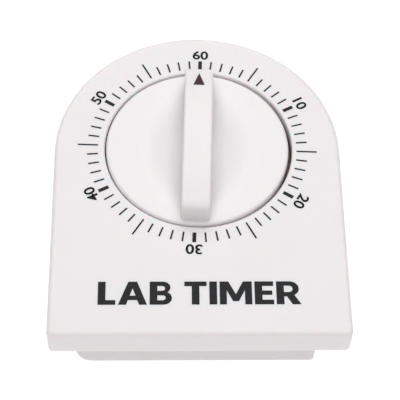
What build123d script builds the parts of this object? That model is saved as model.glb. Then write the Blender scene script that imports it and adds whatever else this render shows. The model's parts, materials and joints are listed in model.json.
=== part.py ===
"""Sixty-minute clockwork bench timer: an arch-topped plastic case, a turning grip and its bell movement.

The timer lies on its back. +Z comes out of the dial face and +Y runs up the dial to the sixty mark.
The origin is at the middle of the outline, on the back face. All sizes are in millimetres.
"""
import os
from math import acos, atan2, cos, degrees, hypot, radians, sin, sqrt

from build123d import *

os.makedirs("parts", exist_ok=True)


# ---------------------------------------------------------------- driving dimensions
# Front housing: a shallow arch-topped lid
case_width = 76.0
case_height = 93.7
case_depth = 30.0
case_corner = 1.4
case_edge_round = 1.1
dial_above_arch = 0.4
skirt_depth = 8.6
case_wall = 1.8
face_wall = 2.0

# Knob well in the front housing
well_radius = 25.0
well_shift = 0.3
well_depth = 5.2
well_wall = 1.5
well_floor_wall = 1.4
well_edge_round = 0.5

# Rear housing: a narrower tub behind the lid
rear_inset_left = 5.4
rear_inset_right = 7.0
rear_inset_bottom = 7.95
rear_corner_left = 4.4
rear_corner_right = 1.2
rear_edge_round = 0.6
rear_wall = 1.8
rear_floor = 2.0
flange_thickness = 1.6
flange_recess = 0.4
nest_clearance = 0.2
sound_slot_length = 8.0
sound_slot_width = 1.6
sound_slot_ring = 11.5
sound_slot_count = 12

# Knob
knob_skew = 1.95
knob_gap = 0.65
knob_top_above_face = 0.5
knob_rim_round = 0.7
knob_rim_wall = 1.8
knob_web = 1.4
knob_run_clearance = 0.4
grip_corner_margin = 0.35
grip_width = 7.6
grip_height = 8.5
grip_end_height = 5.8
grip_edge_round = 0.7
grip_end_round = 2.6
grip_wall = 1.7
scoop_reach = 15.6
scoop_depth = 2.9
scoop_end_margin = 1.4
scoop_foot_slope = 0.06
hub_radius = 4.4
hub_clip_thickness = 0.6
hub_clip_height = 0.7

# Arbors and their plates
plate_radius = 22.6
plate_thickness = 1.0
plate_gap = 9.2
plate_boss_height = 1.6
run_clearance = 0.05
end_shake = 0.1
arbor_radius = 2.8
arbor_top_radius = 2.2
arbor_flat_depth = 0.6
arbor_top_length = 9.2
arbor_collar_ratio = 1.5
pivot_radius = 1.4
small_arbor_radius = 0.8
small_pivot_radius = 0.5
lever_hub_radius = 1.28
bush_wall = 1.2
bush_flange = 0.5

# Clutch between the arbor and its wheel
clutch_radius = 5.04
clutch_notch_radius = 0.98
clutch_height = 0.5
collet_radius = 3.92
collet_height = 0.7

# Train: teeth, modules and the heights of the wheels above the back plate
main_teeth = 60
second_pinion_leaves = 10
second_teeth = 50
third_pinion_leaves = 10
third_teeth = 36
escape_pinion_leaves = 9
escape_teeth = 15
main_module = 0.4
small_module = 0.3
main_thickness = 1.0
wheel_thickness = 0.8
main_window_count = 6
main_window_ring = 8.2
main_window_radius = 2.1
wheel_window_count = 5
second_window_ring = 4.0
second_window_radius = 1.5
third_window_ring = 2.9
third_window_radius = 1.0
pinion_overhang = 0.4
main_wheel_height = 4.9
second_wheel_height = 7.2
third_wheel_height = 2.0
escape_wheel_height = 7.3
escape_tip_radius = 4.0
escape_root_radius = 2.96
escape_tooth_lean = 3.0
escape_window_ring = 1.92
escape_window_radius = 0.52
second_direction = 180.0
third_radius = 17.6
escape_radius = 16.5
tooth_shoulder = 0.6
tooth_shoulder_width = 0.56
tooth_tip_width = 0.22
wheel_tooth = {"addendum": 1.25, "dedendum": 1.45, "thickness": 1.55}
pinion_tooth = {"addendum": 0.8, "dedendum": 1.75, "thickness": 1.2}

# Pallet and its weighted ring
pallet_radius = 16.5
pallet_distance = 6.4
pallet_swing = 6.0
pallet_pin_radius = 0.25
pallet_pin_gap = 0.12
pallet_pin_angle = 40.0
pallet_lever_height = 6.3
pallet_lever_thickness = 0.5
balance_ring_radius = 4.3
balance_ring_height = 2.4
balance_ring_thickness = 1.2
balance_ring_width = 1.3
balance_bar_width = 1.3

# Mainspring and barrel
barrel_radius = 11.4
barrel_wall = 0.5
barrel_height = 4.6
spring_thickness = 0.25
spring_height = 3.2
spring_turns = 7.0
spring_gap = 0.25
spring_steps = 14

# Bell
gong_radius = 21.0
gong_wall = 0.8
gong_height = 5.6
gong_top_clearance = 0.8
gong_edge_round = 2.4
bell_post_margin = 0.4
bell_screw_radius = 1.4
bell_screw_head_radius = 2.8
bell_screw_head_height = 1.3
bell_screw_slot = 0.8
bell_screw_reach = 3.2

# Hammer, its tail and return spring
hammer_margin = 0.7
hammer_direction = 330.0
hammer_head_ring = 18.1
hammer_head_direction = 350.0
hammer_head_radius = 1.4
hammer_head_height = 2.4
hammer_plate_thickness = 0.6
hammer_tail_length = 4.6
hammer_tail_turn = 118.0
return_foot_ring = 19.0
return_foot_turn = 22.0
return_foot_radius = 1.0
return_foot_height = 2.4
return_tip_reach = 2.2
return_tip_turn = 2.0
return_strip_height = 1.2
return_strip_foot = 0.2
return_strip_tip = 0.15

# Trip lever and its cam
trip_margin = 1.3
trip_direction = 62.0
trip_lever_height = 7.1
trip_cam_radius = 5.4
trip_cam_notch = 1.2
trip_nose_gap = 0.35
trip_nose_radius = 0.7
trip_nose_turn = 12.0
trip_tail_reach = 0.5
trip_tail_turn = 42.0

# Fasteners
case_screw_radius = 1.3
case_screw_head_radius = 2.4
case_screw_head_height = 1.8
case_screw_length = 12.0
case_screw_ring = 26.1
case_screw_angle = 40.0
case_screw_side_margin = 6.6
case_post_radius = 2.9
counterbore_radius = 2.6
counterbore_wall = 0.8
post_joint_below_face = 11.0
screw_web = 8.0
small_screw_radius = 0.8
small_screw_head_radius = 1.6
small_screw_head_height = 0.8
small_screw_reach = 2.4
pillar_radius = 1.5
pillar_ring = 20.4
pillar_angles = (28.0, 150.0, 278.0)
movement_screw_angles = (90.0, 205.0, 320.0)
movement_boss_radius = 2.1
nut_across_flats = 3.2
nut_height = 1.1


# ---------------------------------------------------------------- levels and places
arch_radius = case_width / 2
arch_y = case_height / 2 - arch_radius
dial_y = arch_y + dial_above_arch
bottom_y = -case_height / 2
face_z = case_depth
skirt_z = face_z - skirt_depth
face_under_z = face_z - face_wall
well_floor_z = face_z - well_depth
well_under_z = well_floor_z - well_floor_wall
post_joint_z = face_z - post_joint_below_face
flange_z = skirt_z + flange_recess
flange_top_z = flange_z + flange_thickness

front_plate_top_z = well_under_z - plate_boss_height
front_plate_z = front_plate_top_z - plate_thickness
back_plate_top_z = front_plate_z - plate_gap
back_plate_z = back_plate_top_z - plate_thickness
gong_rim_z = back_plate_z - gong_top_clearance
gong_z = gong_rim_z - gong_height

knob_under_z = well_floor_z + knob_run_clearance
knob_top_z = face_z + knob_top_above_face
knob_web_z = knob_top_z - scoop_depth - knob_web
grip_top_z = face_z + grip_height

knob_rim_radius = well_radius - knob_gap
knob_flat_radius = knob_rim_radius - knob_rim_round
grip_half = sqrt((knob_flat_radius - grip_corner_margin) ** 2 - (grip_width / 2) ** 2)

rear_half = arch_radius - (rear_inset_left + rear_inset_right) / 2
rear_x = (rear_inset_left - rear_inset_right) / 2
rear_bottom_y = bottom_y + rear_inset_bottom

bell_post_radius = arbor_radius + bell_post_margin
main_tip_radius = (main_teeth / 2 + wheel_tooth["addendum"]) * main_module
hammer_radius = main_tip_radius + small_arbor_radius + hammer_margin
trip_radius = main_tip_radius + small_arbor_radius + trip_margin
second_wheel_distance = (main_teeth + second_pinion_leaves) * main_module / 2
third_distance = (second_teeth + third_pinion_leaves) * small_module / 2
escape_distance = (third_teeth + escape_pinion_leaves) * small_module / 2


def around(first_radius, first_direction, second_radius, distance):
    """Direction from the dial axis to a point at second_radius, a set distance past a first point."""
    turn = (first_radius**2 + second_radius**2 - distance**2) / (2 * first_radius * second_radius)
    return first_direction + degrees(acos(turn))


def polar(radius, direction, centre=(0.0, dial_y)):
    """Point at a radius and direction in degrees about a centre."""
    return (centre[0] + radius * cos(radians(direction)), centre[1] + radius * sin(radians(direction)))


def bearing(start, end):
    """Direction in degrees from one point to another."""
    return degrees(atan2(end[1] - start[1], end[0] - start[0]))


dial_centre = (0.0, dial_y)
well_centre = (well_shift, dial_y + well_shift)
third_direction = around(second_wheel_distance, second_direction, third_radius, third_distance)
escape_direction = around(third_radius, third_direction, escape_radius, escape_distance)
pallet_direction = around(escape_radius, escape_direction, pallet_radius, pallet_distance)
second_at = polar(second_wheel_distance, second_direction)
third_at = polar(third_radius, third_direction)
escape_at = polar(escape_radius, escape_direction)
pallet_at = polar(pallet_radius, pallet_direction)
hammer_at = polar(hammer_radius, hammer_direction)
hammer_head_at = polar(hammer_head_ring, hammer_head_direction)
trip_at = polar(trip_radius, trip_direction)
pillars_at = [polar(pillar_ring, angle) for angle in pillar_angles]
movement_screws_at = [polar(pillar_ring, angle) for angle in movement_screw_angles]

rear_inner_left = rear_x - rear_half + rear_wall
rear_inner_right = rear_x + rear_half - rear_wall
lower_screw_y = rear_bottom_y + case_screw_side_margin
case_screws_at = [
    polar(case_screw_ring, 90 - case_screw_angle),
    polar(case_screw_ring, 90 + case_screw_angle),
    (rear_inner_left + case_screw_side_margin, lower_screw_y),
    (rear_inner_right - case_screw_side_margin, lower_screw_y),
]


# ---------------------------------------------------------------- shared shapes
def arch_outline(half_width, centre_x, bottom, left_corner, right_corner):
    """Semicircle over a straight-sided block with rounded lower corners."""
    with BuildSketch() as outline:
        with BuildLine():
            top = CenterArc((centre_x, arch_y), half_width, 0, 180)
            Polyline(top @ 1, (centre_x - half_width, bottom), (centre_x + half_width, bottom), top @ 0)
        make_face()
        lower = outline.vertices().group_by(Axis.Y)[0].sort_by(Axis.X)
        fillet(lower[0], left_corner)
        lower = outline.vertices().sort_by_distance((centre_x + half_width, bottom))
        fillet(lower[0], right_corner)
    return outline.sketch


def tooth_points(pitch_radius, direction, root, tip, half_thickness, tip_half):
    """Points of one tooth: straight flanks to the pitch circle, then an arched end."""
    middle = pitch_radius + (tip - pitch_radius) * tooth_shoulder
    rows = (
        (root, half_thickness * root / pitch_radius),
        (pitch_radius, half_thickness),
        (middle, (half_thickness + tip_half) * tooth_shoulder_width),
        (tip, tip_half),
    )
    rising = [(radius, -width / radius) for radius, width in rows]
    falling = [(radius, width / radius) for radius, width in reversed(rows)]
    return [
        (radius * cos(radians(direction) + turn), radius * sin(radians(direction) + turn))
        for radius, turn in rising + falling
    ]


def gear_sketch(teeth, module, direction, addendum, dedendum, thickness):
    """Gear outline with one tooth centred on a direction in degrees; the last three sizes are in modules."""
    pitch_radius = teeth * module / 2
    points = []
    for tooth in range(teeth):
        points += tooth_points(
            pitch_radius,
            direction + 360 * tooth / teeth,
            pitch_radius - dedendum * module,
            pitch_radius + addendum * module,
            thickness * module / 2,
            tooth_tip_width * thickness * module / 2,
        )
    with BuildSketch() as outline:
        with BuildLine():
            Polyline(*points, close=True)
        make_face()
    return outline.sketch


def wheel_part(teeth, module, centre, direction, z, bore, window_ring, window_radius):
    """Flat brass wheel with round windows."""
    outline = gear_sketch(teeth, module, direction, **wheel_tooth)
    with BuildPart() as wheel:
        with BuildSketch(Plane.XY.offset(z)):
            with Locations(centre):
                add(outline)
                Circle(bore, mode=Mode.SUBTRACT)
                with PolarLocations(window_ring, wheel_window_count):
                    Circle(window_radius, mode=Mode.SUBTRACT)
        extrude(amount=wheel_thickness)
    return wheel.part


def pinion_arbor(leaves, module, centre, direction, pinion_z, lower_z, upper_z, lower_end=0.0):
    """Steel arbor with a cut pinion and a pivot at each end, which run in the two plates."""
    outline = gear_sketch(leaves, module, direction, **pinion_tooth)
    with BuildPart() as arbor:
        with BuildSketch(Plane.XY.offset(lower_z)):
            with Locations(centre):
                Circle(small_arbor_radius)
        extrude(amount=upper_z - lower_z)
        with BuildSketch(Plane.XY.offset(back_plate_z - lower_end)):
            with Locations(centre):
                Circle(small_pivot_radius)
        extrude(amount=front_plate_top_z - back_plate_z + lower_end)
        with BuildSketch(Plane.XY.offset(pinion_z)):
            with Locations(centre):
                add(outline)
        extrude(amount=wheel_thickness + 2 * pinion_overhang)
    return arbor.part


def plain_arbor(centre, lower_end=0.0):
    """Steel arbor without a pinion; lower_end is how far its lower pivot stands out of the back plate."""
    with BuildPart() as arbor:
        with BuildSketch(Plane.XY.offset(back_plate_top_z + end_shake)):
            with Locations(centre):
                Circle(small_arbor_radius)
        extrude(amount=plate_gap - 2 * end_shake)
        with BuildSketch(Plane.XY.offset(back_plate_z - lower_end)):
            with Locations(centre):
                Circle(small_pivot_radius)
        extrude(amount=front_plate_top_z - back_plate_z + lower_end)
    return arbor.part


def link_sketch(start, end, start_radius, end_radius):
    """Two rounded ends joined by a straight-sided web."""
    with BuildSketch() as outline:
        with Locations(start):
            Circle(start_radius)
        with Locations(end):
            Circle(end_radius)
        make_hull()
    return outline.sketch


finished = {}


def finish(name, part):
    """Label a sub-part and write its file."""
    part.label = name
    export_step(part, f"parts/{name}.step")
    finished[name] = part


# ---------------------------------------------------------------- front housing
case_outline = arch_outline(arch_radius, 0, bottom_y, case_corner, case_corner)
case_inner = arch_outline(
    arch_radius - case_wall, 0, bottom_y + case_wall, case_corner / 2, case_corner / 2
)

with BuildPart() as front_housing:
    with BuildSketch(Plane.XY.offset(skirt_z)):
        add(case_outline)
    extrude(amount=skirt_depth)
    fillet(front_housing.faces().sort_by(Axis.Z)[-1].edges(), case_edge_round)
    with BuildSketch(Plane.XY.offset(skirt_z)):
        add(case_inner)
    extrude(amount=skirt_depth - face_wall, mode=Mode.SUBTRACT)
    # posts for the case screws
    with BuildSketch(Plane.XY.offset(post_joint_z)):
        with Locations(*case_screws_at):
            Circle(case_post_radius)
    extrude(amount=face_under_z - post_joint_z)
    # knob well
    with BuildSketch(Plane.XY.offset(well_under_z)):
        with Locations(well_centre):
            Circle(well_radius + well_wall)
    extrude(amount=face_under_z - well_under_z)
    with BuildSketch(Plane.XY.offset(well_floor_z)):
        with Locations(well_centre):
            Circle(well_radius)
    extrude(amount=well_depth, mode=Mode.SUBTRACT)
    well_edge = front_housing.edges().filter_by(GeomType.CIRCLE).filter_by(
        lambda edge: abs(edge.radius - well_radius) < 0.01 and edge.center().Z > face_z - 0.01
    )
    fillet(well_edge, well_edge_round)
    # bosses for the movement
    with BuildSketch(Plane.XY.offset(front_plate_top_z)):
        with Locations(*movement_screws_at):
            Circle(movement_boss_radius)
    extrude(amount=plate_boss_height)
    # bores
    with BuildSketch(Plane.XY.offset(well_under_z)):
        with Locations(dial_centre):
            Circle(arbor_radius + knob_run_clearance)
    extrude(amount=well_floor_wall, mode=Mode.SUBTRACT)
    with BuildSketch(Plane.XY.offset(front_plate_top_z)):
        with Locations(*movement_screws_at):
            Circle(small_screw_radius)
    extrude(amount=small_screw_reach - plate_thickness + run_clearance * 4, mode=Mode.SUBTRACT)
    case_bore_length = case_screw_length - screw_web
    with BuildSketch(Plane.XY.offset(post_joint_z)):
        with Locations(*case_screws_at):
            Circle(case_screw_radius)
    extrude(amount=case_bore_length + run_clearance * 4, mode=Mode.SUBTRACT)
finish("front_housing", front_housing.part)


# ---------------------------------------------------------------- rear housing
rear_outline = arch_outline(rear_half, rear_x, rear_bottom_y, rear_corner_left, rear_corner_right)
rear_inner = arch_outline(
    rear_half - rear_wall,
    rear_x,
    rear_bottom_y + rear_wall,
    max(rear_corner_left - rear_wall, rear_corner_right),
    rear_corner_right,
)
flange_gap = case_wall + nest_clearance
flange_outline = arch_outline(
    arch_radius - flange_gap, 0, bottom_y + flange_gap, case_corner / 2, case_corner / 2
)
screw_head_top_z = post_joint_z - screw_web

with BuildPart() as rear_housing:
    with BuildSketch(Plane.XY):
        add(rear_outline)
    extrude(amount=flange_top_z)
    fillet(rear_housing.faces().sort_by(Axis.Z)[0].edges(), rear_edge_round)
    with BuildSketch(Plane.XY.offset(flange_z)):
        add(flange_outline)
    extrude(amount=flange_thickness)
    with BuildSketch(Plane.XY.offset(rear_floor)):
        add(rear_inner)
    extrude(amount=flange_top_z - rear_floor, mode=Mode.SUBTRACT)
    # screw tubes, counterbored from the back
    with BuildSketch(Plane.XY.offset(rear_floor / 2)):
        with Locations(*case_screws_at):
            Circle(counterbore_radius + counterbore_wall)
    extrude(amount=post_joint_z - rear_floor / 2)
    with BuildSketch(Plane.XY):
        with Locations(*case_screws_at):
            Circle(counterbore_radius)
    extrude(amount=screw_head_top_z, mode=Mode.SUBTRACT)
    with BuildSketch(Plane.XY.offset(screw_head_top_z)):
        with Locations(*case_screws_at):
            Circle(case_screw_radius + run_clearance * 4)
    extrude(amount=screw_web, mode=Mode.SUBTRACT)
    # sound slots under the bell
    with BuildSketch(Plane.XY):
        with Locations(dial_centre):
            with PolarLocations(sound_slot_ring, sound_slot_count):
                SlotOverall(sound_slot_length, sound_slot_width)
    extrude(amount=rear_floor, mode=Mode.SUBTRACT)
finish("rear_housing", rear_housing.part)


# ---------------------------------------------------------------- case screws
with BuildPart() as case_screws:
    with BuildSketch(Plane.XY.offset(screw_head_top_z - case_screw_head_height)):
        with Locations(*case_screws_at):
            Circle(case_screw_head_radius)
    extrude(amount=case_screw_head_height)
    with BuildSketch(Plane.XY.offset(screw_head_top_z)):
        with Locations(*case_screws_at):
            Circle(case_screw_radius - run_clearance / 2)
    extrude(amount=case_screw_length)
    # cross recess
    with BuildSketch(Plane.XY.offset(screw_head_top_z - case_screw_head_height)):
        with Locations(*case_screws_at):
            Rectangle(case_screw_head_radius * 1.2, case_screw_radius * 0.5)
            Rectangle(case_screw_radius * 0.5, case_screw_head_radius * 1.2)
    extrude(amount=case_screw_head_height * 0.6, mode=Mode.SUBTRACT)
finish("case_screws", case_screws.part)


# ---------------------------------------------------------------- knob
knob_plane = Plane(
    origin=(0, dial_y, 0), x_dir=(cos(radians(knob_skew)), -sin(radians(knob_skew)), 0), z_dir=(0, 0, 1)
)
grip_side_plane = Plane(origin=knob_plane.origin, x_dir=knob_plane.y_dir, z_dir=knob_plane.x_dir)

# finger scoops: a dish whose rim is the circle through scoop_reach and a point near each end of the grip
scoop_span = scoop_reach - grip_width / 2
scoop_half = grip_half - scoop_end_margin
scoop_centre = (scoop_reach + grip_width / 2 - scoop_half**2 / scoop_span) / 2
scoop_circle = scoop_reach - scoop_centre
foot_radius = grip_width / 2 - scoop_centre
scoop_foot_z = knob_top_z - scoop_depth


def scoop_cutter(side):
    """The dish on one side of the grip: steepest at the grip, it runs out smoothly at its rim."""
    foot = (foot_radius, scoop_foot_z)
    rim = (scoop_circle, knob_top_z)
    with BuildSketch(Plane.XZ) as profile:
        with BuildLine():
            Spline(foot, rim, tangents=[(1, scoop_foot_slope), (1, 0)])
            Polyline(rim, (0, knob_top_z), (0, scoop_foot_z), foot)
        make_face()
    with BuildPart() as lens:
        add(profile.sketch)
        revolve(axis=Axis.Z)
    placed = knob_plane.location * Pos(side * scoop_centre, 0, 0) * lens.part
    half = knob_plane.location * Pos(side * (grip_width / 2 + scoop_circle), 0, knob_top_z)
    return placed & half * Box(2 * scoop_circle, 2 * scoop_circle, 4 * scoop_depth)


scoop_cutters = [scoop_cutter(side) for side in (-1, 1)]

with BuildPart() as knob:
    with BuildSketch(knob_plane.offset(knob_under_z)):
        Circle(knob_rim_radius)
    extrude(amount=knob_top_z - knob_under_z)
    fillet(knob.faces().sort_by(Axis.Z)[-1].edges(), knob_rim_round)
    add(scoop_cutters, mode=Mode.SUBTRACT)
    # crowned grip
    with BuildSketch(grip_side_plane):
        with BuildLine():
            crown = ThreePointArc(
                (-grip_half, face_z + grip_end_height), (0, grip_top_z), (grip_half, face_z + grip_end_height)
            )
            Polyline(crown @ 1, (grip_half, knob_web_z), (-grip_half, knob_web_z), crown @ 0)
        make_face()
    extrude(amount=grip_width / 2, both=True)
    grip_ends = knob.edges().filter_by(
        lambda edge: abs(edge.center().Z - face_z - grip_end_height) < 0.01 and edge.length > grip_width * 0.9
    )
    fillet(grip_ends, grip_end_round)
    grip_edges = knob.edges().filter_by(
        lambda edge: edge.center().Z > face_z + grip_end_height - 3 and edge.length > grip_half
    )
    fillet(grip_edges, grip_edge_round)
    # hollow underside around the hub
    with BuildSketch(knob_plane.offset(knob_under_z)):
        Circle(knob_rim_radius - knob_rim_wall)
        Circle(hub_radius, mode=Mode.SUBTRACT)
    extrude(amount=knob_web_z - knob_under_z, mode=Mode.SUBTRACT)
    with BuildSketch(knob_plane.offset(knob_web_z)):
        Rectangle(grip_width - 2 * grip_wall, 2 * grip_half - 4 * grip_wall)
        Circle(arbor_radius + grip_wall / 2, mode=Mode.SUBTRACT)
    extrude(amount=face_z + grip_end_height - grip_wall - knob_web_z, mode=Mode.SUBTRACT)
    # D-shaped bore
    with BuildSketch(knob_plane.offset(knob_under_z)):
        Circle(arbor_top_radius + run_clearance)
        with Locations((arbor_top_radius - arbor_flat_depth + run_clearance + arbor_top_radius, 0)):
            Rectangle(2 * arbor_top_radius, 4 * arbor_top_radius, mode=Mode.SUBTRACT)
    extrude(amount=arbor_top_length + end_shake, mode=Mode.SUBTRACT)
finish("knob", knob.part)

with BuildPart() as knob_spring_clip:
    with BuildSketch(knob_plane.offset(knob_under_z + end_shake)):
        Circle(hub_radius + run_clearance + hub_clip_thickness)
        Circle(hub_radius + run_clearance, mode=Mode.SUBTRACT)
        with Locations((0, hub_radius)):
            Rectangle(hub_radius / 2, 2 * hub_radius, mode=Mode.SUBTRACT)
    extrude(amount=hub_clip_height)
finish("knob_spring_clip", knob_spring_clip.part)


# ---------------------------------------------------------------- main arbor and what turns with it
arbor_foot_z = back_plate_z - plate_thickness
arbor_shoulder_z = back_plate_top_z + 5 * end_shake
main_wheel_z = back_plate_top_z + main_wheel_height
clutch_z = main_wheel_z + main_thickness
collet_z = clutch_z + clutch_height
trip_cam_z = collet_z + collet_height

with BuildPart() as main_arbor:
    with BuildSketch(knob_plane.offset(arbor_foot_z)):
        Circle(pivot_radius)
    extrude(amount=arbor_shoulder_z - arbor_foot_z)
    with BuildSketch(knob_plane.offset(arbor_shoulder_z)):
        Circle(arbor_radius)
    extrude(amount=knob_under_z - arbor_shoulder_z)
    with BuildSketch(knob_plane.offset(main_wheel_z - collet_height)):
        Circle(arbor_radius * arbor_collar_ratio)
    extrude(amount=collet_height)
    with BuildSketch(knob_plane.offset(knob_under_z)):
        Circle(arbor_top_radius)
        with Locations((arbor_top_radius - arbor_flat_depth + arbor_top_radius, 0)):
            Rectangle(2 * arbor_top_radius, 4 * arbor_top_radius, mode=Mode.SUBTRACT)
    extrude(amount=arbor_top_length)
finish("main_arbor", main_arbor.part)

main_outline = gear_sketch(main_teeth, main_module, second_direction, **wheel_tooth)
with BuildPart() as main_wheel:
    with BuildSketch(Plane.XY.offset(main_wheel_z)):
        with Locations(dial_centre):
            add(main_outline)
            Circle(arbor_radius + run_clearance, mode=Mode.SUBTRACT)
            with PolarLocations(main_window_ring, main_window_count):
                Circle(main_window_radius, mode=Mode.SUBTRACT)
    extrude(amount=main_thickness)
finish("main_wheel", main_wheel.part)

with BuildPart() as clutch_spring:
    with BuildSketch(Plane.XY.offset(clutch_z)):
        with Locations(dial_centre):
            Circle(clutch_radius)
            Circle(arbor_radius + run_clearance, mode=Mode.SUBTRACT)
            with PolarLocations(clutch_radius, 3):
                Circle(clutch_notch_radius, mode=Mode.SUBTRACT)
    extrude(amount=clutch_height)
finish("clutch_spring", clutch_spring.part)

with BuildPart() as clutch_collet:
    with BuildSketch(Plane.XY.offset(collet_z)):
        with Locations(dial_centre):
            Circle(collet_radius)
            Circle(arbor_radius + run_clearance, mode=Mode.SUBTRACT)
    extrude(amount=collet_height)
finish("clutch_collet", clutch_collet.part)

with BuildPart() as trip_cam:
    with BuildSketch(Plane.XY.offset(trip_cam_z)):
        with Locations(dial_centre):
            Circle(trip_cam_radius)
            Circle(arbor_radius + run_clearance, mode=Mode.SUBTRACT)
        with Locations(polar(trip_cam_radius, trip_direction)):
            Circle(trip_cam_notch, mode=Mode.SUBTRACT)
    extrude(amount=wheel_thickness)
finish("trip_cam", trip_cam.part)


# ---------------------------------------------------------------- plates, pillars and fasteners
def plate_part(z, centre_bore, screw_bores):
    """Round movement plate, pierced for the arbors, the pillars and the screws."""
    with BuildPart() as plate:
        with BuildSketch(Plane.XY.offset(z)):
            with Locations(dial_centre):
                Circle(plate_radius)
                Circle(centre_bore, mode=Mode.SUBTRACT)
            with Locations(second_at, third_at, escape_at, pallet_at, hammer_at, trip_at):
                Circle(small_pivot_radius + run_clearance, mode=Mode.SUBTRACT)
            with Locations(*pillars_at):
                Circle(small_screw_radius + run_clearance, mode=Mode.SUBTRACT)
            if screw_bores:
                with Locations(*movement_screws_at):
                    Circle(small_screw_radius + run_clearance, mode=Mode.SUBTRACT)
        extrude(amount=plate_thickness)
    return plate.part


finish("front_plate", plate_part(front_plate_z, arbor_radius + bush_wall, True))
finish("back_plate", plate_part(back_plate_z, bell_post_radius, False))

with BuildPart() as front_bush:
    with BuildSketch(Plane.XY.offset(front_plate_z - bush_flange)):
        with Locations(dial_centre):
            Circle(arbor_radius + 2 * bush_wall)
    extrude(amount=bush_flange)
    with BuildSketch(Plane.XY.offset(front_plate_z)):
        with Locations(dial_centre):
            Circle(arbor_radius + bush_wall - run_clearance / 2)
    extrude(amount=plate_thickness + bush_flange)
    with BuildSketch(Plane.XY.offset(front_plate_z - bush_flange)):
        with Locations(dial_centre):
            Circle(arbor_radius + run_clearance)
    extrude(amount=plate_thickness + 2 * bush_flange, mode=Mode.SUBTRACT)
finish("front_bush", front_bush.part)

with BuildPart() as plate_pillars:
    with BuildSketch(Plane.XY.offset(back_plate_top_z)):
        with Locations(*pillars_at):
            Circle(pillar_radius)
    extrude(amount=plate_gap)
    with BuildSketch(Plane.XY.offset(back_plate_z - nut_height / 2)):
        with Locations(*pillars_at):
            Circle(small_screw_radius)
    extrude(amount=plate_gap + 2 * plate_thickness + nut_height * 1.5)
    # riveted feet under the back plate
    with BuildSketch(Plane.XY.offset(back_plate_z - nut_height / 2)):
        with Locations(*pillars_at):
            Circle(pillar_radius * 0.9)
    extrude(amount=nut_height / 2)
finish("plate_pillars", plate_pillars.part)

with BuildPart() as pillar_nuts:
    with BuildSketch(Plane.XY.offset(front_plate_top_z)):
        with Locations(*pillars_at):
            RegularPolygon(nut_across_flats / 2, 6, major_radius=False)
            Circle(small_screw_radius + run_clearance, mode=Mode.SUBTRACT)
    extrude(amount=nut_height)
finish("pillar_nuts", pillar_nuts.part)

with BuildPart() as movement_screws:
    with BuildSketch(Plane.XY.offset(front_plate_z - small_screw_head_height)):
        with Locations(*movement_screws_at):
            Circle(small_screw_head_radius)
    extrude(amount=small_screw_head_height)
    with BuildSketch(Plane.XY.offset(front_plate_z)):
        with Locations(*movement_screws_at):
            Circle(small_screw_radius - run_clearance / 2)
    extrude(amount=small_screw_reach)
    with BuildSketch(Plane.XY.offset(front_plate_z - small_screw_head_height)):
        with Locations(*movement_screws_at):
            Rectangle(3 * small_screw_head_radius, small_screw_radius * 0.6)
    extrude(amount=small_screw_head_height / 2, mode=Mode.SUBTRACT)
finish("movement_screws", movement_screws.part)


# ---------------------------------------------------------------- bell
gong_floor_top_z = gong_z + gong_wall
post_flange_z = back_plate_z - plate_thickness
gong_bend_z = gong_z + gong_edge_round
gong_bend_radius = gong_radius - gong_edge_round
gong_inner = gong_radius - gong_wall
gong_hole = bell_screw_radius + run_clearance

with BuildPart() as bell_post:
    with BuildSketch(Plane.XY.offset(gong_floor_top_z)):
        with Locations(dial_centre):
            Circle(bell_post_radius - run_clearance / 2)
    extrude(amount=back_plate_top_z - gong_floor_top_z)
    with BuildSketch(Plane.XY.offset(post_flange_z)):
        with Locations(dial_centre):
            Circle(bell_post_radius * 1.4)
    extrude(amount=plate_thickness)
    with BuildSketch(Plane.XY.offset(arbor_foot_z - end_shake)):
        with Locations(dial_centre):
            Circle(pivot_radius + run_clearance)
    extrude(amount=back_plate_top_z - arbor_foot_z + end_shake, mode=Mode.SUBTRACT)
    with BuildSketch(Plane.XY.offset(gong_floor_top_z)):
        with Locations(dial_centre):
            Circle(bell_screw_radius + run_clearance)
    extrude(amount=bell_screw_reach + end_shake, mode=Mode.SUBTRACT)
finish("bell_post", bell_post.part)

with BuildPart() as gong:
    with BuildSketch(Plane.XZ):
        with BuildLine():
            Polyline((gong_inner, gong_rim_z), (gong_radius, gong_rim_z), (gong_radius, gong_bend_z))
            RadiusArc((gong_radius, gong_bend_z), (gong_bend_radius, gong_z), gong_edge_round)
            Polyline(
                (gong_bend_radius, gong_z),
                (gong_hole, gong_z),
                (gong_hole, gong_floor_top_z),
                (gong_bend_radius, gong_floor_top_z),
            )
            RadiusArc(
                (gong_bend_radius, gong_floor_top_z), (gong_inner, gong_bend_z), gong_wall - gong_edge_round
            )
            Line((gong_inner, gong_bend_z), (gong_inner, gong_rim_z))
        make_face()
    revolve(axis=Axis.Z)
finish("gong", Pos(0, dial_y, 0) * gong.part)

with BuildPart() as bell_screw:
    with BuildSketch(Plane.XY.offset(gong_z - bell_screw_head_height)):
        with Locations(dial_centre):
            Circle(bell_screw_head_radius)
    extrude(amount=bell_screw_head_height)
    fillet(bell_screw.faces().sort_by(Axis.Z)[0].edges(), bell_screw_head_height / 2)
    with BuildSketch(Plane.XY.offset(gong_z)):
        with Locations(dial_centre):
            Circle(bell_screw_radius)
    extrude(amount=gong_wall + bell_screw_reach)
    with BuildSketch(Plane.XY.offset(gong_z - bell_screw_head_height)):
        with Locations(dial_centre):
            Rectangle(3 * bell_screw_head_radius, bell_screw_slot)
    extrude(amount=bell_screw_head_height / 2, mode=Mode.SUBTRACT)
finish("bell_screw", bell_screw.part)


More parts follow.
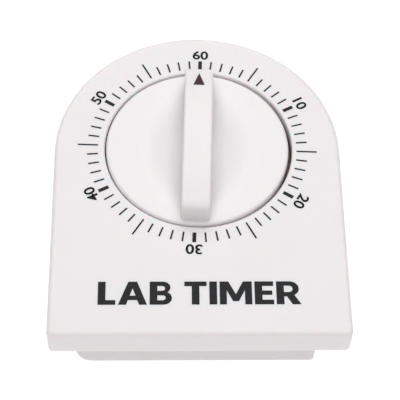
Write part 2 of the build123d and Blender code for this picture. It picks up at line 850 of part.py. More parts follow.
# ---------------------------------------------------------------- mainspring and barrel
with BuildPart() as spring_barrel:
    with BuildSketch(Plane.XY.offset(back_plate_top_z)):
        with Locations(dial_centre):
            Circle(barrel_radius)
            Circle(arbor_radius + spring_gap, mode=Mode.SUBTRACT)
    extrude(amount=barrel_wall)
    with BuildSketch(Plane.XY.offset(back_plate_top_z)):
        with Locations(dial_centre):
            Circle(barrel_radius)
            Circle(barrel_radius - barrel_wall, mode=Mode.SUBTRACT)
    extrude(amount=barrel_height)
finish("spring_barrel", spring_barrel.part)

spring_z = back_plate_top_z + barrel_wall + spring_gap
spring_inner = arbor_radius + spring_gap
spring_outer = barrel_radius - barrel_wall - spring_thickness - run_clearance


def spiral_points(extra):
    """Points along the flat spiral, extra outside its inner edge."""
    count = round(spring_turns * spring_steps)
    growth = (spring_outer - spring_inner) / count
    return [
        polar(spring_inner + extra + growth * step, 360 * step / spring_steps, (0, 0))
        for step in range(count + 1)
    ]


with BuildPart() as mainspring:
    with BuildSketch(Plane.XY.offset(spring_z)):
        with BuildLine():
            inner_edge = Spline(*spiral_points(0))
            outer_edge = Spline(*spiral_points(spring_thickness))
            Line(inner_edge @ 0, outer_edge @ 0)
            Line(inner_edge @ 1, outer_edge @ 1)
        make_face()
    extrude(amount=spring_height)
finish("mainspring", Pos(0, dial_y, 0) * mainspring.part)


# ---------------------------------------------------------------- going train
arbor_low_z = back_plate_top_z + end_shake
arbor_high_z = front_plate_z - end_shake


def facing(leaves, driver_at, own_at):
    """Direction that puts a tooth space of a pinion on the line to its driver."""
    return bearing(own_at, driver_at) + 180 / leaves


second_wheel_z = back_plate_top_z + second_wheel_height
third_wheel_z = back_plate_top_z + third_wheel_height
escape_wheel_z = back_plate_top_z + escape_wheel_height

finish(
    "second_arbor",
    pinion_arbor(
        second_pinion_leaves,
        main_module,
        second_at,
        facing(second_pinion_leaves, dial_centre, second_at),
        main_wheel_z - pinion_overhang + (main_thickness - wheel_thickness) / 2,
        arbor_low_z,
        arbor_high_z,
    ),
)
finish(
    "second_wheel",
    wheel_part(
        second_teeth,
        small_module,
        second_at,
        bearing(second_at, third_at),
        second_wheel_z,
        small_arbor_radius + run_clearance / 2,
        second_window_ring,
        second_window_radius,
    ),
)
finish(
    "third_arbor",
    pinion_arbor(
        third_pinion_leaves,
        small_module,
        third_at,
        facing(third_pinion_leaves, second_at, third_at),
        second_wheel_z - pinion_overhang,
        arbor_low_z,
        arbor_high_z,
    ),
)
finish(
    "third_wheel",
    wheel_part(
        third_teeth,
        small_module,
        third_at,
        bearing(third_at, escape_at),
        third_wheel_z,
        small_arbor_radius + run_clearance / 2,
        third_window_ring,
        third_window_radius,
    ),
)
finish(
    "escape_arbor",
    pinion_arbor(
        escape_pinion_leaves,
        small_module,
        escape_at,
        facing(escape_pinion_leaves, third_at, escape_at),
        third_wheel_z - pinion_overhang,
        arbor_low_z,
        arbor_high_z,
    ),
)


def escape_points():
    """Saw-toothed rim of the escape wheel, relative to its centre."""
    points = []
    for tooth in range(escape_teeth):
        start = 360 * tooth / escape_teeth
        points.append(polar(escape_root_radius, start, (0, 0)))
        points.append(polar(escape_tip_radius, start + escape_tooth_lean, (0, 0)))
        points.append(polar(escape_tip_radius, start + 2 * escape_tooth_lean, (0, 0)))
    return points


with BuildSketch() as escape_outline:
    with BuildLine():
        Polyline(*escape_points(), close=True)
    make_face()
with BuildPart() as escape_wheel:
    with BuildSketch(Plane.XY.offset(escape_wheel_z)):
        with Locations(escape_at):
            add(escape_outline.sketch)
            Circle(small_arbor_radius + run_clearance / 2, mode=Mode.SUBTRACT)
            with PolarLocations(escape_window_ring, wheel_window_count):
                Circle(escape_window_radius, mode=Mode.SUBTRACT)
    extrude(amount=wheel_thickness)
finish("escape_wheel", escape_wheel.part)


# ---------------------------------------------------------------- pallet
finish("pallet_arbor", plain_arbor(pallet_at))

pallet_line = bearing(escape_at, pallet_at)
pallet_arm_length = hypot(
    pallet_distance - escape_tip_radius * cos(radians(pallet_pin_angle)),
    escape_tip_radius * sin(radians(pallet_pin_angle)),
)
pallet_pin_ring = (
    escape_tip_radius + pallet_pin_radius + pallet_pin_gap + pallet_arm_length * radians(pallet_swing) * 1.05
)
pallet_pins_at = [
    polar(pallet_pin_ring, pallet_line + side * pallet_pin_angle, escape_at) for side in (-1, 1)
]
pallet_lever_z = back_plate_top_z + pallet_lever_height
pin_end_z = escape_wheel_z + wheel_thickness + end_shake

with BuildPart() as pallet_lever:
    with BuildSketch(Plane.XY.offset(pallet_lever_z)):
        for pin_at in pallet_pins_at:
            add(link_sketch(pallet_at, pin_at, lever_hub_radius, pallet_pin_radius * 2))
        with Locations(pallet_at):
            Circle(small_arbor_radius + run_clearance / 2, mode=Mode.SUBTRACT)
        with Locations(*pallet_pins_at):
            Circle(pallet_pin_radius, mode=Mode.SUBTRACT)
    extrude(amount=pallet_lever_thickness)
finish("pallet_lever", pallet_lever.part)

with BuildPart() as pallet_pins:
    with BuildSketch(Plane.XY.offset(pallet_lever_z)):
        with Locations(*pallet_pins_at):
            Circle(pallet_pin_radius)
    extrude(amount=pin_end_z - pallet_lever_z)
finish("pallet_pins", pallet_pins.part)

with BuildPart() as balance_ring:
    with BuildSketch(Plane.XY.offset(back_plate_top_z + balance_ring_height)):
        with Locations(pallet_at):
            Circle(balance_ring_radius)
            Circle(balance_ring_radius - balance_ring_width, mode=Mode.SUBTRACT)
            Rectangle(balance_bar_width, 2 * balance_ring_radius - balance_ring_width)
            Circle(lever_hub_radius)
            Circle(small_arbor_radius + run_clearance / 2, mode=Mode.SUBTRACT)
    extrude(amount=balance_ring_thickness)
finish("balance_ring", balance_ring.part)


# ---------------------------------------------------------------- hammer and trip lever
hammer_arm_z = gong_rim_z - hammer_plate_thickness
hammer_drop = back_plate_z - hammer_arm_z
finish("hammer_arbor", plain_arbor(hammer_at, hammer_drop))

with BuildPart() as hammer_arm:
    with BuildSketch(Plane.XY.offset(hammer_arm_z)):
        add(link_sketch(hammer_at, hammer_head_at, lever_hub_radius, small_arbor_radius))
        with Locations(hammer_at):
            Circle(small_pivot_radius, mode=Mode.SUBTRACT)
    extrude(amount=hammer_plate_thickness)
finish("hammer_arm", hammer_arm.part)

with BuildPart() as hammer_head:
    with BuildSketch(Plane.XY.offset(hammer_arm_z - hammer_head_height)):
        with Locations(hammer_head_at):
            Circle(hammer_head_radius)
    extrude(amount=hammer_head_height)
    chamfer(hammer_head.edges().sort_by(Axis.Z)[0], hammer_head_radius * 0.2)
finish("hammer_head", hammer_head.part)

trip_lever_z = back_plate_top_z + trip_lever_height
hammer_tail_end = polar(hammer_tail_length, hammer_direction + hammer_tail_turn, hammer_at)
with BuildPart() as hammer_tail:
    with BuildSketch(Plane.XY.offset(trip_lever_z)):
        add(link_sketch(hammer_at, hammer_tail_end, lever_hub_radius, small_arbor_radius * 0.8))
        with Locations(hammer_at):
            Circle(small_arbor_radius + run_clearance / 2, mode=Mode.SUBTRACT)
    extrude(amount=hammer_plate_thickness)
finish("hammer_tail", hammer_tail.part)

finish("trip_arbor", plain_arbor(trip_at))
trip_nose_ring = trip_cam_radius + trip_nose_gap + trip_nose_radius
trip_nose_at = polar(trip_nose_ring, trip_direction - trip_nose_turn)
trip_tail_at = polar(trip_radius + trip_tail_reach, trip_direction - trip_tail_turn)
with BuildPart() as trip_lever:
    with BuildSketch(Plane.XY.offset(trip_lever_z)):
        add(link_sketch(trip_at, trip_nose_at, lever_hub_radius, trip_nose_radius))
        add(link_sketch(trip_at, trip_tail_at, lever_hub_radius, trip_nose_radius))
        with Locations(trip_at):
            Circle(small_arbor_radius + run_clearance / 2, mode=Mode.SUBTRACT)
    extrude(amount=hammer_plate_thickness)
finish("trip_lever", trip_lever.part)

# hammer return spring: a bent strip on a foot riveted to the back plate
return_foot_at = polar(return_foot_ring, hammer_direction - return_foot_turn)
return_tip_at = polar(hammer_radius + return_tip_reach, hammer_direction + return_tip_turn)
with BuildPart() as hammer_spring:
    with BuildSketch(Plane.XY.offset(back_plate_top_z)):
        with Locations(return_foot_at):
            Circle(return_foot_radius)
    extrude(amount=return_foot_height)
    with BuildSketch(Plane.XY.offset(back_plate_top_z + return_foot_height - return_strip_height)):
        add(link_sketch(return_foot_at, return_tip_at, return_strip_foot, return_strip_tip))
    extrude(amount=return_strip_height)
finish("hammer_spring", hammer_spring.part)

if __name__ == "__main__":
    for name, part in finished.items():
        box = part.bounding_box()
        print(f"{name:18s} z {box.min.Z:6.2f} {box.max.Z:6.2f}  volume {part.volume:9.2f}")
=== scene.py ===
"""Looks of the clockwork bench timer: satin white case and knob, printed scale, and its bell movement."""
import json
from math import cos, radians, sin, sqrt

import bmesh
import bpy
from mathutils import Matrix, Vector


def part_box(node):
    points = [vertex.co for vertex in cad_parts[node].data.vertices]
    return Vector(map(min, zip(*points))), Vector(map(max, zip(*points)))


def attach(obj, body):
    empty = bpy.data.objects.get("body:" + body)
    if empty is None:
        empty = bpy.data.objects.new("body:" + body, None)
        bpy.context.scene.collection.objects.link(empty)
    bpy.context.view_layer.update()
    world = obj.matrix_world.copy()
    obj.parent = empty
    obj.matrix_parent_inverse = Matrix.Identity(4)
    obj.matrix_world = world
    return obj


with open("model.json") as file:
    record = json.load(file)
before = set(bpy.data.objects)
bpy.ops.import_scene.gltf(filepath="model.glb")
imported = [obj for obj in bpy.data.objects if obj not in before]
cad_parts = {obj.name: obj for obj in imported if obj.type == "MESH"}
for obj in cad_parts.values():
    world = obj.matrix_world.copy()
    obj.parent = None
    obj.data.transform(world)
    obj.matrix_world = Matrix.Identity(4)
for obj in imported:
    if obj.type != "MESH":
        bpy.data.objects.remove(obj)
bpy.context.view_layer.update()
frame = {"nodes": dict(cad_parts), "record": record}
MM = 0.001

# ---------------------------------------------------------------- places from the frame
FACE_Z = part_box("front_housing")[1].z
knob_low, knob_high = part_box("knob")
DIAL = Vector(((knob_low.x + knob_high.x) / 2, (knob_low.y + knob_high.y) / 2, FACE_Z))
KNOB_SKEW = radians(1.95)
KNOB_TURN = Matrix.Translation(DIAL) @ Matrix.Rotation(-KNOB_SKEW, 4, "Z")

# ---------------------------------------------------------------- painted shade: dull, warm brown painted on the plastic down in the well
GAP_RADIUS = 24.8 * MM
GAP_WIDTH = 1.6 * MM
WELL_SHADE_TOP = 2.2 * MM
WELL_SHADE_BOTTOM = 4.0 * MM
# colour of the painted shade in the gap about the knob
WELL_PAINTED_SHADE = (0.20, 0.115, 0.09)

# ---------------------------------------------------------------- print sizes
INK_DEPTH = 0.03 * MM
INK_BURIED = 0.01 * MM
WELD = 1e-7
SCALE_TURN = radians(-2.3)
TICK_INNER = 26.5 * MM
TICK_SHORT = 29.4 * MM
TICK_LONG = 31.9 * MM
TICK_WIDTH = 0.45 * MM
TICK_BOLD_WIDTH = 1.0 * MM
NUMERAL_RADIUS = 31.5 * MM
NUMERAL_HEIGHT = 2.95 * MM
NUMERAL_STRETCH = 1.13
NUMERAL_BOLD = 0.022
NUMERAL_CURVE_STEPS = 8
NUMERAL_RIGHT_SHIFT = 0.3 * MM
LETTER_HEIGHT = 6.6 * MM
LETTER_WIDTH = 51.0 * MM
LETTER_DOWN = 44.3 * MM


# ---------------------------------------------------------------- finish sizes; noise scales are per metre
NOISE_LOW = 0.3
NOISE_HIGH = 0.7
PLASTIC_DARK_SHARE = 0.985
PLASTIC_PATCHES = 60
PLASTIC_GLOSS_SPOTS = 2600
PLASTIC_GRAIN = 3800
PLASTIC_GRAIN_STRENGTH = 0.5
PLASTIC_IOR = 1.52
GLOW_SHARE = 0.5
GLOW_RADIUS = (1.0, 0.6, 0.5)
GLOW_DEPTH = 2 * MM
METAL_PATCHES = 140
METAL_MARKS = 1500
METAL_MARK_DEPTH = 4e-6
METAL_MARK_STRENGTH = 0.6
INK_COVER_SPOTS = 900
INK_GLOSS_SPOTS = 2200
INK_PALE_STEP = 0.006
INK_GLOSS = (0.36, 0.5)
INK_ROUGHNESS = 0.42
INK_SHINE = 0.15


# ---------------------------------------------------------------- materials
class Finish:
    """A material with its Principled shader and a few short ways to add nodes to it."""

    def __init__(self, name, colour, roughness, metallic=0.0):
        self.material = bpy.data.materials.new(name)
        self.material.use_nodes = True
        self.tree = self.material.node_tree
        self.shader = self.tree.nodes["Principled BSDF"]
        self.shader.inputs["Base Color"].default_value = (*colour, 1)
        self.shader.inputs["Roughness"].default_value = roughness
        self.shader.inputs["Metallic"].default_value = metallic
        self.place = self.node("ShaderNodeTexCoord").outputs["Object"]

    def node(self, kind, **settings):
        made = self.tree.nodes.new(kind)
        for key, value in settings.items():
            setattr(made, key, value)
        return made

    def link(self, source, target):
        self.tree.links.new(source, target)

    def noise(self, scale, detail=2.0, roughness=0.5, stretch=None):
        """Noise on the object's own coordinates, optionally stretched along its axes."""
        made = self.node("ShaderNodeTexNoise")
        made.inputs["Scale"].default_value = scale
        made.inputs["Detail"].default_value = detail
        made.inputs["Roughness"].default_value = roughness
        if stretch:
            mapping = self.node("ShaderNodeMapping")
            mapping.inputs["Scale"].default_value = stretch
            self.link(self.place, mapping.inputs["Vector"])
            self.link(mapping.outputs["Vector"], made.inputs["Vector"])
        else:
            self.link(self.place, made.inputs["Vector"])
        return made.outputs["Fac"]

    def spread(self, value, low, high):
        """The value's middle stretch mapped to low..high."""
        made = self.node("ShaderNodeMapRange")
        made.inputs["From Min"].default_value = NOISE_LOW
        made.inputs["From Max"].default_value = NOISE_HIGH
        made.inputs["To Min"].default_value = low
        made.inputs["To Max"].default_value = high
        self.link(value, made.inputs["Value"])
        return made.outputs["Result"]

    def tones(self, value, dark, light):
        """Base colour that wanders between two tones."""
        made = self.node("ShaderNodeMix", data_type="RGBA")
        made.inputs["A"].default_value = (*dark, 1)
        made.inputs["B"].default_value = (*light, 1)
        self.link(value, made.inputs["Factor"])
        self.link(made.outputs["Result"], self.shader.inputs["Base Color"])
        return made.outputs["Result"]

    def shade_down(self, colour, painted_shade_tone, radius, width, top, bottom):
        """Paints shade into a base colour in a ring about the dial axis, from a top height down to a bottom
        one.
        """
        flat = self.node("ShaderNodeVectorMath", operation="MULTIPLY")
        flat.inputs[1].default_value = (1, 1, 0)
        self.link(self.place, flat.inputs[0])
        reach = self.node("ShaderNodeVectorMath", operation="DISTANCE")
        reach.inputs[1].default_value = (DIAL.x, DIAL.y, 0)
        self.link(flat.outputs["Vector"], reach.inputs[0])
        inside = self.node("ShaderNodeMath", operation="COMPARE")
        inside.inputs[1].default_value = radius
        inside.inputs[2].default_value = width / 2
        self.link(reach.outputs["Value"], inside.inputs[0])
        height = self.node("ShaderNodeSeparateXYZ")
        self.link(self.place, height.inputs["Vector"])
        depth = self.node("ShaderNodeMapRange")
        depth.inputs["From Min"].default_value = top
        depth.inputs["From Max"].default_value = bottom
        self.link(height.outputs["Z"], depth.inputs["Value"])
        shade_share = self.node("ShaderNodeMath", operation="MULTIPLY")
        self.link(inside.outputs["Value"], shade_share.inputs[0])
        self.link(depth.outputs["Result"], shade_share.inputs[1])
        made = self.node("ShaderNodeMix", data_type="RGBA")
        made.inputs["B"].default_value = (*painted_shade_tone, 1)
        self.link(colour, made.inputs["A"])
        self.link(shade_share.outputs["Value"], made.inputs["Factor"])
        self.link(made.outputs["Result"], self.shader.inputs["Base Color"])

    def grain(self, height, depth, strength=1.0):
        """Bump from a height value; depth is in metres."""
        made = self.node("ShaderNodeBump")
        made.inputs["Distance"].default_value = depth
        made.inputs["Strength"].default_value = strength
        self.link(height, made.inputs["Height"])
        self.link(made.outputs["Normal"], self.shader.inputs["Normal"])


def moulded_plastic(name, tone, roughness, grain_depth, paint_well_shade=False):
    """Satin moulded ABS: almost even white with a fine spark-eroded grain, with painted shade in dull warm
    brown down in the well.
    """
    finish = Finish(name, tone, roughness)
    shade = finish.spread(finish.noise(PLASTIC_PATCHES, 3), 0, 1)
    colour = finish.tones(shade, [PLASTIC_DARK_SHARE * part for part in tone], tone)
    # painted shade: dark warm brown painted on the gap's walls below the face, where the well lies in shade
    if paint_well_shade:
        top, bottom = FACE_Z - WELL_SHADE_TOP, FACE_Z - WELL_SHADE_BOTTOM
        finish.shade_down(colour, WELL_PAINTED_SHADE, GAP_RADIUS, GAP_WIDTH, top, bottom)
    gloss = finish.spread(finish.noise(PLASTIC_GLOSS_SPOTS, 4, 0.6), roughness - 0.04, roughness + 0.05)
    finish.link(gloss, finish.shader.inputs["Roughness"])
    finish.grain(finish.noise(PLASTIC_GRAIN, 3, 0.55), grain_depth, PLASTIC_GRAIN_STRENGTH)
    finish.shader.inputs["IOR"].default_value = PLASTIC_IOR
    finish.shader.inputs["Subsurface Weight"].default_value = GLOW_SHARE
    finish.shader.inputs["Subsurface Radius"].default_value = GLOW_RADIUS
    finish.shader.inputs["Subsurface Scale"].default_value = GLOW_DEPTH
    return finish


def worked_metal(name, dark, light, roughness, stretch):
    """Metal with tool marks, drawn out along the axes whose stretch is below one."""
    finish = Finish(name, light, roughness, metallic=1.0)
    finish.tones(finish.spread(finish.noise(METAL_PATCHES, 4), 0, 1), dark, light)
    marks = finish.noise(METAL_MARKS, 5, 0.65, stretch)
    finish.link(finish.spread(marks, roughness - 0.07, roughness + 0.09), finish.shader.inputs["Roughness"])
    finish.grain(marks, METAL_MARK_DEPTH, METAL_MARK_STRENGTH)
    return finish


def printing_ink(name, tone):
    """Pad-printed ink with slightly uneven cover."""
    finish = Finish(name, tone, INK_ROUGHNESS)
    cover = finish.spread(finish.noise(INK_COVER_SPOTS, 3), 0, 1)
    finish.tones(cover, tone, [part + INK_PALE_STEP for part in tone])
    gloss = finish.spread(finish.noise(INK_GLOSS_SPOTS, 2), *INK_GLOSS)
    finish.link(gloss, finish.shader.inputs["Roughness"])
    finish.shader.inputs["Specular IOR Level"].default_value = INK_SHINE
    return finish


PLASTICS = {
    # slot: name, tone, roughness, grain depth, and whether it gets painted shade down in the well
    "case_white": ("satin_case_plastic", (0.80, 0.772, 0.779), 0.42, 7e-6, True),
    # the tub's tone, darker than the case's, is painted shade for the tub under the case's overhang
    "rear_white": ("matt_tub_plastic", (0.715, 0.685, 0.693), 0.52, 1.2e-5, False),
    "knob_white": ("satin_knob_plastic", (0.81, 0.782, 0.789), 0.38, 5e-6, True),
}
METALS = {
    # slot: name, dark tone, light tone, roughness, and the stretch of its tool marks
    "brass": ("turned_brass", (0.62, 0.40, 0.14), (0.80, 0.58, 0.25), 0.28, (1, 1, 0.15)),
    "plate_steel": ("zinc_plate_steel", (0.46, 0.47, 0.48), (0.62, 0.62, 0.62), 0.34, (1, 0.06, 1)),
    "arbor_steel": ("arbor_steel", (0.38, 0.38, 0.39), (0.56, 0.56, 0.57), 0.22, (0.1, 0.1, 1)),
    "spring_steel": ("blued_steel", (0.06, 0.08, 0.13), (0.12, 0.15, 0.22), 0.26, (1, 1, 0.1)),
    "bell_nickel": ("nickel_bell", (0.60, 0.58, 0.54), (0.74, 0.72, 0.67), 0.16, (1, 1, 0.1)),
    "screw_zinc": ("bright_zinc", (0.50, 0.51, 0.50), (0.68, 0.68, 0.66), 0.30, (1, 1, 1)),
}
FINISHES = {slot: moulded_plastic(*look) for slot, look in PLASTICS.items()}
FINISHES.update({slot: worked_metal(*look) for slot, look in METALS.items()})
black_ink = printing_ink("black_scale_ink", (0.005, 0.005, 0.006))
pointer_ink = printing_ink("pointer_ink", (0.048, 0.022, 0.025))

for part in frame["record"]["subparts"]:
    node = frame["nodes"][part["node"]]
    node.data.materials.clear()
    node.data.materials.append(FINISHES[part["material_slot"]].material)


# ---------------------------------------------------------------- pieces
def piece(name, mesh, finish, body):
    """A finished mesh as a piece that rides on a body."""
    made = bpy.data.objects.new(name, mesh)
    bpy.context.scene.collection.objects.link(made)
    mesh.materials.clear()
    mesh.materials.append(finish.material)
    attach(made, body)
    return made


def mesh_of(bm, name):
    """The bmesh as a new mesh with outward faces."""
    bmesh.ops.recalc_face_normals(bm, faces=bm.faces)
    mesh = bpy.data.meshes.new(name)
    bm.to_mesh(mesh)
    bm.free()
    return mesh


def thicken(bm):
    """Flat print given its ink thickness, its lower side just inside the surface."""
    flat = bm.faces[:]
    raised = bmesh.ops.extrude_face_region(bm, geom=flat)["geom"]
    top = [item for item in raised if isinstance(item, bmesh.types.BMVert)]
    bmesh.ops.translate(bm, verts=top, vec=(0, 0, INK_DEPTH))
    bmesh.ops.translate(bm, verts=bm.verts, vec=(0, 0, -INK_BURIED))


def fit(bm, height, width=None, stretch=1.0):
    """Centres flat print, brings it to a height and to a width or a stretch, and gives it thickness."""
    low = Vector([min(v.co[axis] for v in bm.verts) for axis in range(3)])
    high = Vector([max(v.co[axis] for v in bm.verts) for axis in range(3)])
    tall = height / (high.y - low.y)
    wide = width / (high.x - low.x) if width else tall * stretch
    bmesh.ops.translate(bm, verts=bm.verts, vec=-(low + high) / 2)
    bmesh.ops.scale(bm, verts=bm.verts, vec=(wide, tall, 1))
    bmesh.ops.remove_doubles(bm, verts=bm.verts, dist=WELD)
    thicken(bm)


def numeral(words):
    """A number as thin print, its middle at the origin, drawn with a bold outline."""
    curve = bpy.data.curves.new("numeral", "FONT")
    curve.body = words
    curve.offset = NUMERAL_BOLD
    curve.resolution_u = NUMERAL_CURVE_STEPS
    holder = bpy.data.objects.new("numeral", curve)
    bpy.context.scene.collection.objects.link(holder)
    bpy.context.view_layer.update()
    mesh = bpy.data.meshes.new_from_object(holder.evaluated_get(bpy.context.evaluated_depsgraph_get()))
    bpy.data.objects.remove(holder)
    bpy.data.curves.remove(curve)
    bm = bmesh.new()
    bm.from_mesh(mesh)
    bpy.data.meshes.remove(mesh)
    fit(bm, NUMERAL_HEIGHT, stretch=NUMERAL_STRETCH)
    return bm


def bow(x, y, radius, start, end, steps=12):
    """Points along an arc, angles in degrees."""
    turns = [radians(start + (end - start) * step / steps) for step in range(steps + 1)]
    return [(x + radius * cos(turn), y + radius * sin(turn)) for turn in turns]


# heavy capitals one unit high: a width, then the outline and any holes
STEM = 0.26
BAR = 0.20
CAPITALS = {
    "L": (0.60, [[(0, 0), (0.60, 0), (0.60, BAR), (STEM, BAR), (STEM, 1), (0, 1)]]),
    "A": (
        0.98,
        [
            [(0, 0), (0.27, 0), (0.33, BAR), (0.65, BAR), (0.71, 0), (0.98, 0), (0.64, 1), (0.34, 1)],
            [(0.39, 0.39), (0.59, 0.39), (0.49, 0.72)],
        ],
    ),
    "B": (
        0.76,
        [
            [(0, 0), *bow(0.47, 0.285, 0.285, -90, 65), *bow(0.45, 0.745, 0.255, -55, 90), (0, 1)],
            [(STEM, 0.19), *bow(0.44, 0.295, 0.105, -90, 90), (STEM, 0.40)],
            [(STEM, 0.60), *bow(0.42, 0.705, 0.105, -90, 90), (STEM, 0.81)],
        ],
    ),
    "T": (
        0.76,
        [[(0.25, 0), (0.51, 0), (0.51, 0.80), (0.76, 0.80), (0.76, 1), (0, 1), (0, 0.80), (0.25, 0.80)]],
    ),
    "I": (STEM, [[(0, 0), (STEM, 0), (STEM, 1), (0, 1)]]),
    "M": (
        1.10,
        [
            [(0, 0), (0.24, 0), (0.24, 0.62), (0.45, 0.14), (0.65, 0.14), (0.86, 0.62), (0.86, 0)]
            + [(1.10, 0), (1.10, 1), (0.80, 1), (0.55, 0.44), (0.30, 1), (0, 1)]
        ],
    ),
    "E": (
        0.65,
        [
            [(0, 0), (0.65, 0), (0.65, BAR), (STEM, BAR), (STEM, 0.41), (0.60, 0.41), (0.60, 0.60)]
            + [(STEM, 0.60), (STEM, 0.80), (0.64, 0.80), (0.64, 1), (0, 1)]
        ],
    ),
    "R": (
        0.84,
        [
            [(0, 0), (STEM, 0), (STEM, 0.34), (0.36, 0.34), (0.54, 0), (0.84, 0), (0.61, 0.40)]
            + [*bow(0.45, 0.68, 0.32, -50, 90), (0, 1)],
            [(STEM, 0.53), *bow(0.42, 0.67, 0.14, -90, 90), (STEM, 0.81)],
        ],
    ),
}
LETTER_GAP = 0.09
WORD_GAP = 0.42


def capitals(words):
    """A line of heavy capitals as flat faces."""
    bm = bmesh.new()
    along = 0
    for letter in words:
        if letter == " ":
            along += WORD_GAP - LETTER_GAP
            continue
        width, loops = CAPITALS[letter]
        edges = []
        for loop in loops:
            ring = [bm.verts.new((along + x, y, 0)) for x, y in loop]
            edges += [bm.edges.new(pair) for pair in zip(ring, ring[1:] + ring[:1])]
        bmesh.ops.triangle_fill(bm, edges=edges, use_beauty=True, normal=(0, 0, 1))
        along += width + LETTER_GAP
    return bm


def joined(parts, name):
    """Several bmeshes, each with its place, as one mesh."""
    whole = bmesh.new()
    for bm, place in parts:
        bmesh.ops.transform(bm, matrix=place, verts=bm.verts)
        step = bpy.data.meshes.new("step")
        bm.to_mesh(step)
        bm.free()
        whole.from_mesh(step)
        bpy.data.meshes.remove(step)
    return mesh_of(whole, name)


def minute_place(minute):
    """Place on the face whose Y points out through a minute's mark."""
    turn = SCALE_TURN - radians(6 * minute)
    return Matrix.Translation(DIAL) @ Matrix.Rotation(turn, 4, "Z")


def tick_mark(minute):
    """One printed mark: bold every ten minutes, long at the fives between."""
    bold = minute % 10 == 0
    outer = TICK_LONG if minute % 10 == 5 else TICK_SHORT
    width = TICK_BOLD_WIDTH if bold else TICK_WIDTH
    bm = bmesh.new()
    bmesh.ops.create_grid(bm, x_segments=1, y_segments=4, size=0.5)
    bmesh.ops.scale(bm, verts=bm.verts, vec=(width, outer - TICK_INNER, 1))
    bmesh.ops.translate(bm, verts=bm.verts, vec=(0, (outer + TICK_INNER) / 2, 0))
    thicken(bm)
    return bm


def scale_marks():
    marks = [(tick_mark(minute), minute_place(minute)) for minute in range(60)]
    return piece("scale_marks", joined(marks, "scale_marks"), black_ink, "case")


def scale_numerals():
    numbers = []
    for minute in range(10, 70, 10):
        radius = NUMERAL_RADIUS + (NUMERAL_RIGHT_SHIFT if minute < 30 else 0)
        outwards = Matrix.Translation((0, radius, 0))
        numbers.append((numeral(str(minute)), minute_place(minute) @ outwards))
    return piece("scale_numerals", joined(numbers, "scale_numerals"), black_ink, "case")


def front_lettering():
    words = capitals("LAB TIMER")
    fit(words, LETTER_HEIGHT, width=LETTER_WIDTH)
    place = Matrix.Translation(DIAL - Vector((0, LETTER_DOWN, 0)))
    mesh = joined([(words, place)], "front_lettering")
    return piece("front_lettering", mesh, black_ink, "case")


# ---------------------------------------------------------------- pointer on the grip
GRIP_HALF = 22.988 * MM
GRIP_HEIGHT = knob_high.z - FACE_Z
GRIP_END_HEIGHT = 5.8 * MM
POINTER_NEAR = 15.7 * MM
POINTER_FAR = 20.25 * MM
POINTER_HALF_WIDTH = 1.535 * MM
POINTER_CUTS = 6


def crown_height(along):
    """Height of the grip's crowned top over the face, at a distance along it."""
    drop = GRIP_HEIGHT - GRIP_END_HEIGHT
    radius = (GRIP_HALF**2 + drop**2) / (2 * drop)
    return GRIP_HEIGHT - radius + sqrt(radius**2 - along**2)


def grip_pointer():
    bm = bmesh.new()
    base = [bm.verts.new((side * POINTER_HALF_WIDTH, POINTER_NEAR, 0)) for side in (-1, 1)]
    tip = bm.verts.new((0, POINTER_FAR, 0))
    bm.faces.new((*base, tip))
    bmesh.ops.subdivide_edges(bm, edges=bm.edges[:], cuts=POINTER_CUTS, use_grid_fill=True)
    thicken(bm)
    for vert in bm.verts:
        vert.co.z += crown_height(vert.co.y)
    return piece("grip_pointer", joined([(bm, KNOB_TURN)], "grip_pointer"), pointer_ink, "knob")


scale_marks()
scale_numerals()
front_lettering()
grip_pointer()


# ---------------------------------------------------------------- camera
CAMERA_PLACE = Vector((-8.57, -229.03, 327.66)) * MM
CAMERA_RIGHT = Vector((0.99972, -0.01389, 0.01896))
CAMERA_FORWARD = Vector((0.02346, 0.54370, -0.83895))
CAMERA_LENS = 134.73
CAMERA_SENSOR = 36
CAMERA_SHIFT = (-0.001, 0.0015)
CAMERA_CLIP = 0.01


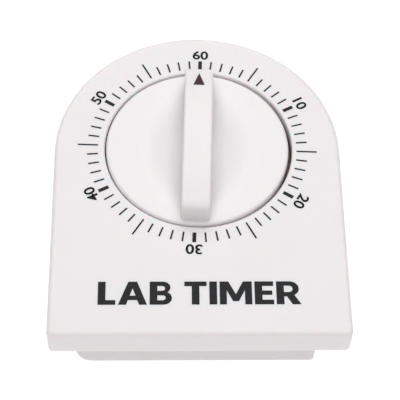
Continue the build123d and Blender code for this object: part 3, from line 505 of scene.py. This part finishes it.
def studio_camera():
    data = bpy.data.cameras.new("studio_camera")
    data.lens = CAMERA_LENS
    data.sensor_width = CAMERA_SENSOR
    data.clip_start = CAMERA_CLIP
    data.shift_x, data.shift_y = CAMERA_SHIFT
    camera = bpy.data.objects.new("studio_camera", data)
    bpy.context.scene.collection.objects.link(camera)
    back = -CAMERA_FORWARD.normalized()
    up = back.cross(CAMERA_RIGHT).normalized()
    right = up.cross(back)
    turn = Matrix((right, up, back)).transposed().to_4x4()
    camera.matrix_world = Matrix.Translation(DIAL + CAMERA_PLACE) @ turn
    bpy.context.scene.camera = camera


# ---------------------------------------------------------------- floor and light
FLOOR_HALF = 3.0
FLOOR_PAINT = (0.05, 0.05, 0.05)
FLOOR_ROUGHNESS = 0.9
FLOOR_GLOW = 1.0
SKY_STRENGTH = 0.3
PANEL_WIDTH = 0.8
PANELS = {
    # name: place, power in watts
    "back_panel": ((0.02, 0.45, 0.75), 4.5),
    "front_panel": ((0.0, -0.5, 0.7), 3.0),
}
WHITE = (1, 1, 1, 1)


def pale_floor():
    bm = bmesh.new()
    bmesh.ops.create_grid(bm, x_segments=1, y_segments=1, size=FLOOR_HALF)
    mesh = mesh_of(bm, "studio_floor")
    floor = bpy.data.objects.new("studio_floor", mesh)
    bpy.context.scene.collection.objects.link(floor)
    finish = Finish("studio_floor_paint", FLOOR_PAINT, FLOOR_ROUGHNESS)
    finish.shader.inputs["Emission Color"].default_value = WHITE
    finish.shader.inputs["Emission Strength"].default_value = FLOOR_GLOW
    mesh.materials.append(finish.material)


def light_panel(name, place, power):
    """A round soft light that faces the middle of the floor."""
    data = bpy.data.lights.new(name, "AREA")
    data.shape = "DISK"
    data.size = PANEL_WIDTH
    data.energy = power
    light = bpy.data.objects.new(name, data)
    bpy.context.scene.collection.objects.link(light)
    light.location = place
    light.rotation_mode = "QUATERNION"
    light.rotation_quaternion = (-Vector(place)).to_track_quat("-Z", "Y")


def soft_light():
    world = bpy.data.worlds.new("studio_sky")
    bpy.context.scene.world = world
    world.use_nodes = True
    sky = world.node_tree.nodes["Background"]
    sky.inputs["Color"].default_value = WHITE
    sky.inputs["Strength"].default_value = SKY_STRENGTH
    for name, (place, power) in PANELS.items():
        light_panel(name, place, power)
    bpy.context.scene.view_settings.view_transform = "Standard"


studio_camera()
pale_floor()
soft_light()
